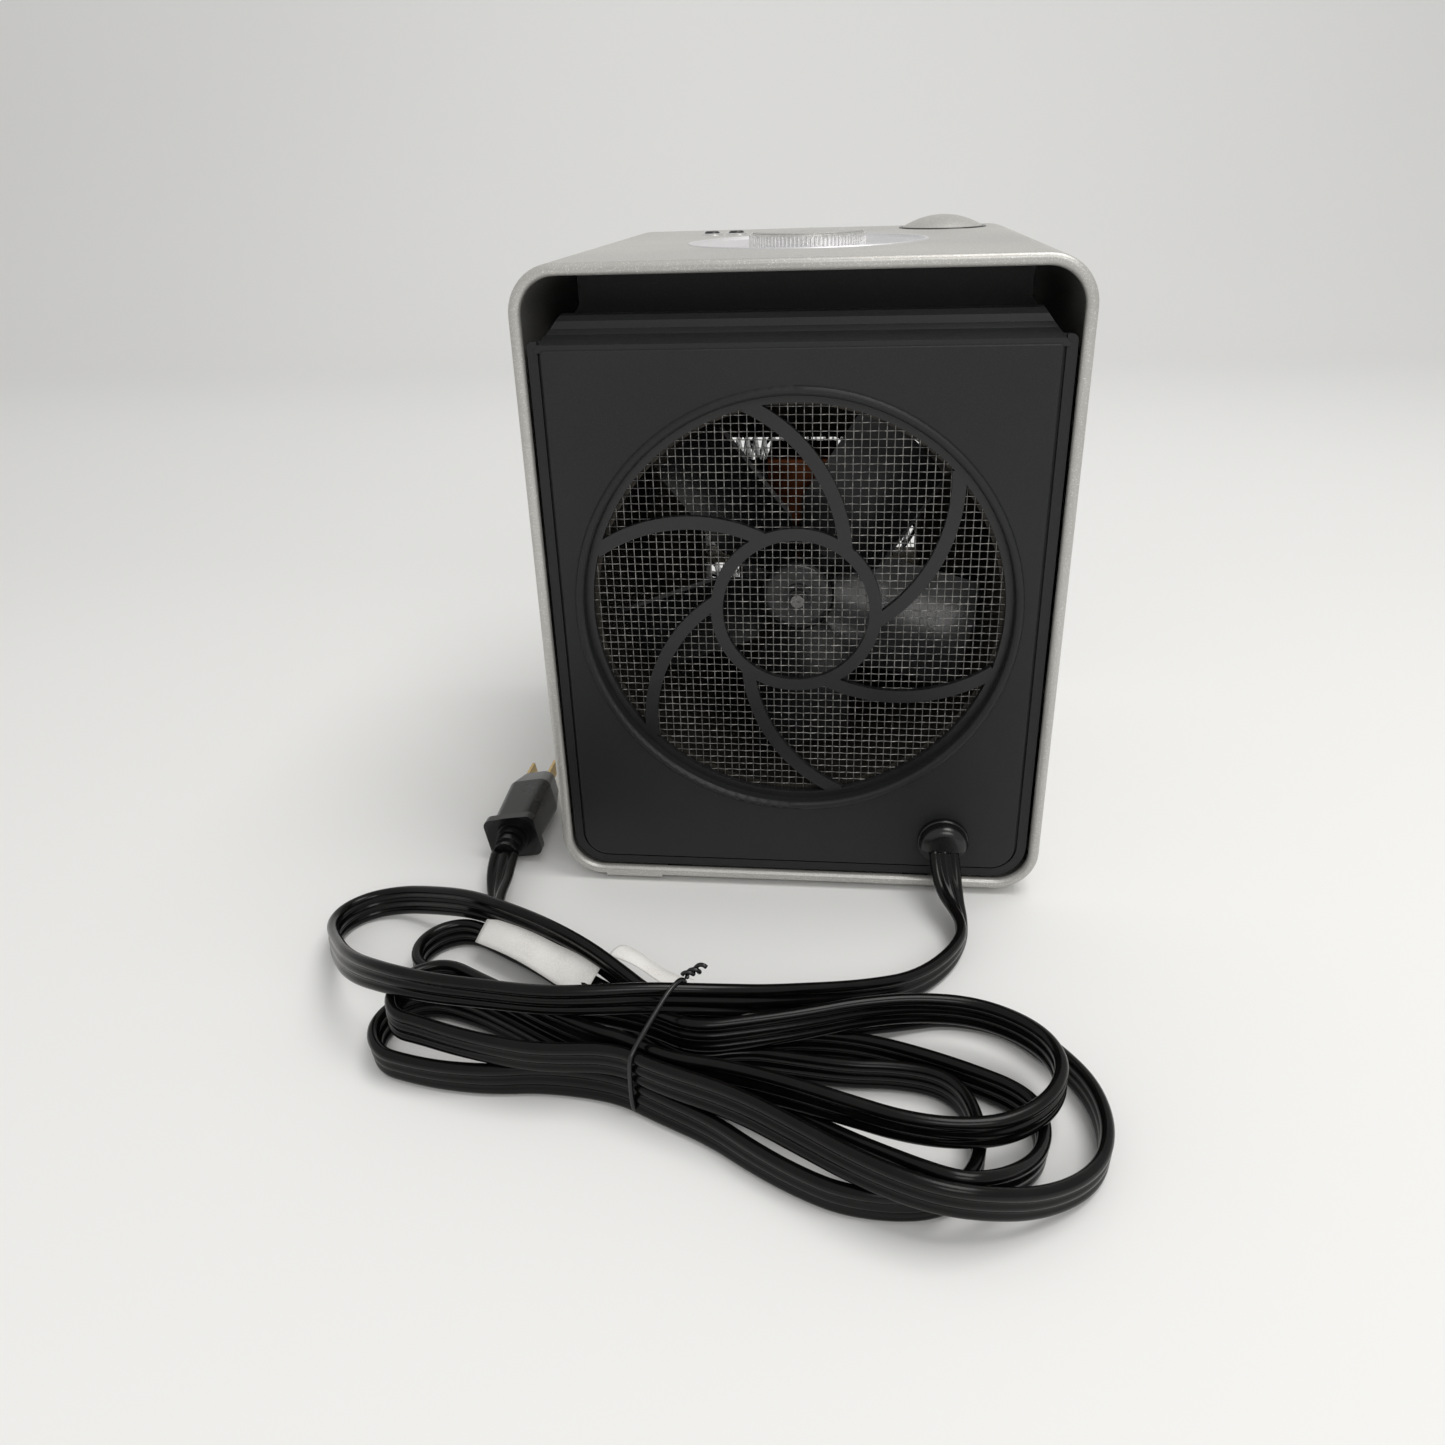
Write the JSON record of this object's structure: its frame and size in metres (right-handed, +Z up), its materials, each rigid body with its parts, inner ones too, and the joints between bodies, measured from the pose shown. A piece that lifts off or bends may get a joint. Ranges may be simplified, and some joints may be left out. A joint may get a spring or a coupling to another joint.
{
  "type": "ceramic space heater",
  "caption": "Free-standing ceramic fan heater: rounded metal sleeve, round rear air inlet with swirled guard and wire mesh, top thermostat dial, tied mains lead with plug.",
  "frame": {"origin": "on the ground under the middle of the case", "axes": "+Z up, +Y to the back (air inlet and mains lead), -Y to the front (warm air outlet), +X to the user's right when they face the front"},
  "size_m": [0.3327, 0.4442, 0.2934],
  "materials": {
    "sleeve_finish": "fine satin champagne-silver powder coat",
    "black_plastic": "fine-grained matte black moulding",
    "guard_black": "satin black",
    "wire_cloth": "dark woven steel wire",
    "galvanised": "galvanised sheet",
    "fan_plastic": "black moulded nylon",
    "steel": "plain steel",
    "lamination": "stacked electrical steel",
    "copper": "varnished copper winding",
    "brass": "plain",
    "aluminium": "corrugated foil",
    "heat_plastic": "heat-proof moulding",
    "ceramic": "dark fired ceramic",
    "bezel_silver": "silver-painted plastic",
    "dial_chrome": "bright plated knurl",
    "button_dark": "dark smoked plastic",
    "board_green": "circuit board",
    "rubber": "soft feet",
    "cord_black": "glossy black PVC",
    "plug_black": "moulded black PVC",
    "paper": "blank white label"
  },
  "bodies": {
    "root": {"sleeve": "sleeve_finish", "rubber_feet": "rubber", "rear_housing": "black_plastic", "inlet_guard": "guard_black", "inlet_mesh": "wire_cloth", "mesh_retainer": "galvanised", "front_housing": "black_plastic", "outlet_grille": "guard_black", "base_screws": "steel", "air_duct": "galvanised", "motor_mount": "galvanised", "motor_stator": "lamination", "motor_coil": "copper", "motor_bracket_rear": "steel", "motor_bracket_front": "steel", "motor_bearings": "brass", "motor_screws": "steel", "heater_baffle": "galvanised", "heater_frame": "heat_plastic", "heater_fins": "aluminium", "ceramic_bars": "ceramic", "heater_electrodes": "brass", "outlet_duct": "galvanised", "thermal_cutoff": "heat_plastic", "thermal_fuse": "steel", "control_bezel": "bezel_silver", "thermostat": "heat_plastic", "control_pan": "black_plastic", "control_board": "board_green", "board_screws": "steel", "tact_switches": "button_dark", "power_ring": "black_plastic", "high_heat_ring": "dial_chrome", "low_heat_ring": "dial_chrome", "tip_bracket": "galvanised", "tip_pin": "steel", "tip_microswitch": "button_dark", "strain_relief": "plug_black", "cord_lead": "cord_black", "cord_hank": "cord_black", "cord_tie": "cord_black", "cord_labels": "paper", "cord_tail": "cord_black", "plug_body": "plug_black", "plug_prongs": "brass"},
    "rotor": {"motor_rotor": "lamination", "motor_shaft": "steel", "fan": "fan_plastic", "fan_clip": "steel"},
    "dial": {"thermostat_dial": "dial_chrome", "dial_cap": "sleeve_finish", "dial_shaft": "steel"},
    "power_button_body": {"power_button": "sleeve_finish"},
    "high_button_body": {"high_heat_button": "button_dark"},
    "low_button_body": {"low_heat_button": "button_dark"},
    "pendulum": {"tip_pendulum": "steel"}
  },
  "joints": [
    {"name": "fan_spin", "type": "hinge", "parent": "root", "child": "rotor", "pos_m": [0, 0.082, 0.1415], "axis": [0, 1, 0], "continuous": true},
    {"name": "dial_turn", "type": "hinge", "parent": "root", "child": "dial", "pos_m": [0, 0.01, 0.287], "axis": [0, 0, 1], "range_deg": [-135, 135]},
    {"name": "power_press", "type": "slide", "parent": "root", "child": "power_button_body", "axis": [0, 0, -1], "range_m": [0, 0.0012], "stiffness_N_per_m": 600},
    {"name": "high_heat_press", "type": "slide", "parent": "root", "child": "high_button_body", "axis": [0, 0, -1], "range_m": [0, 0.0012], "stiffness_N_per_m": 600},
    {"name": "low_heat_press", "type": "slide", "parent": "root", "child": "low_button_body", "axis": [0, 0, -1], "range_m": [0, 0.0012], "stiffness_N_per_m": 600},
    {"name": "tip_swing", "type": "hinge", "parent": "root", "child": "pendulum", "pos_m": [0.076, -0.062, 0.0382], "axis": [0, 1, 0], "range_deg": [-20, 20]}
  ]
}
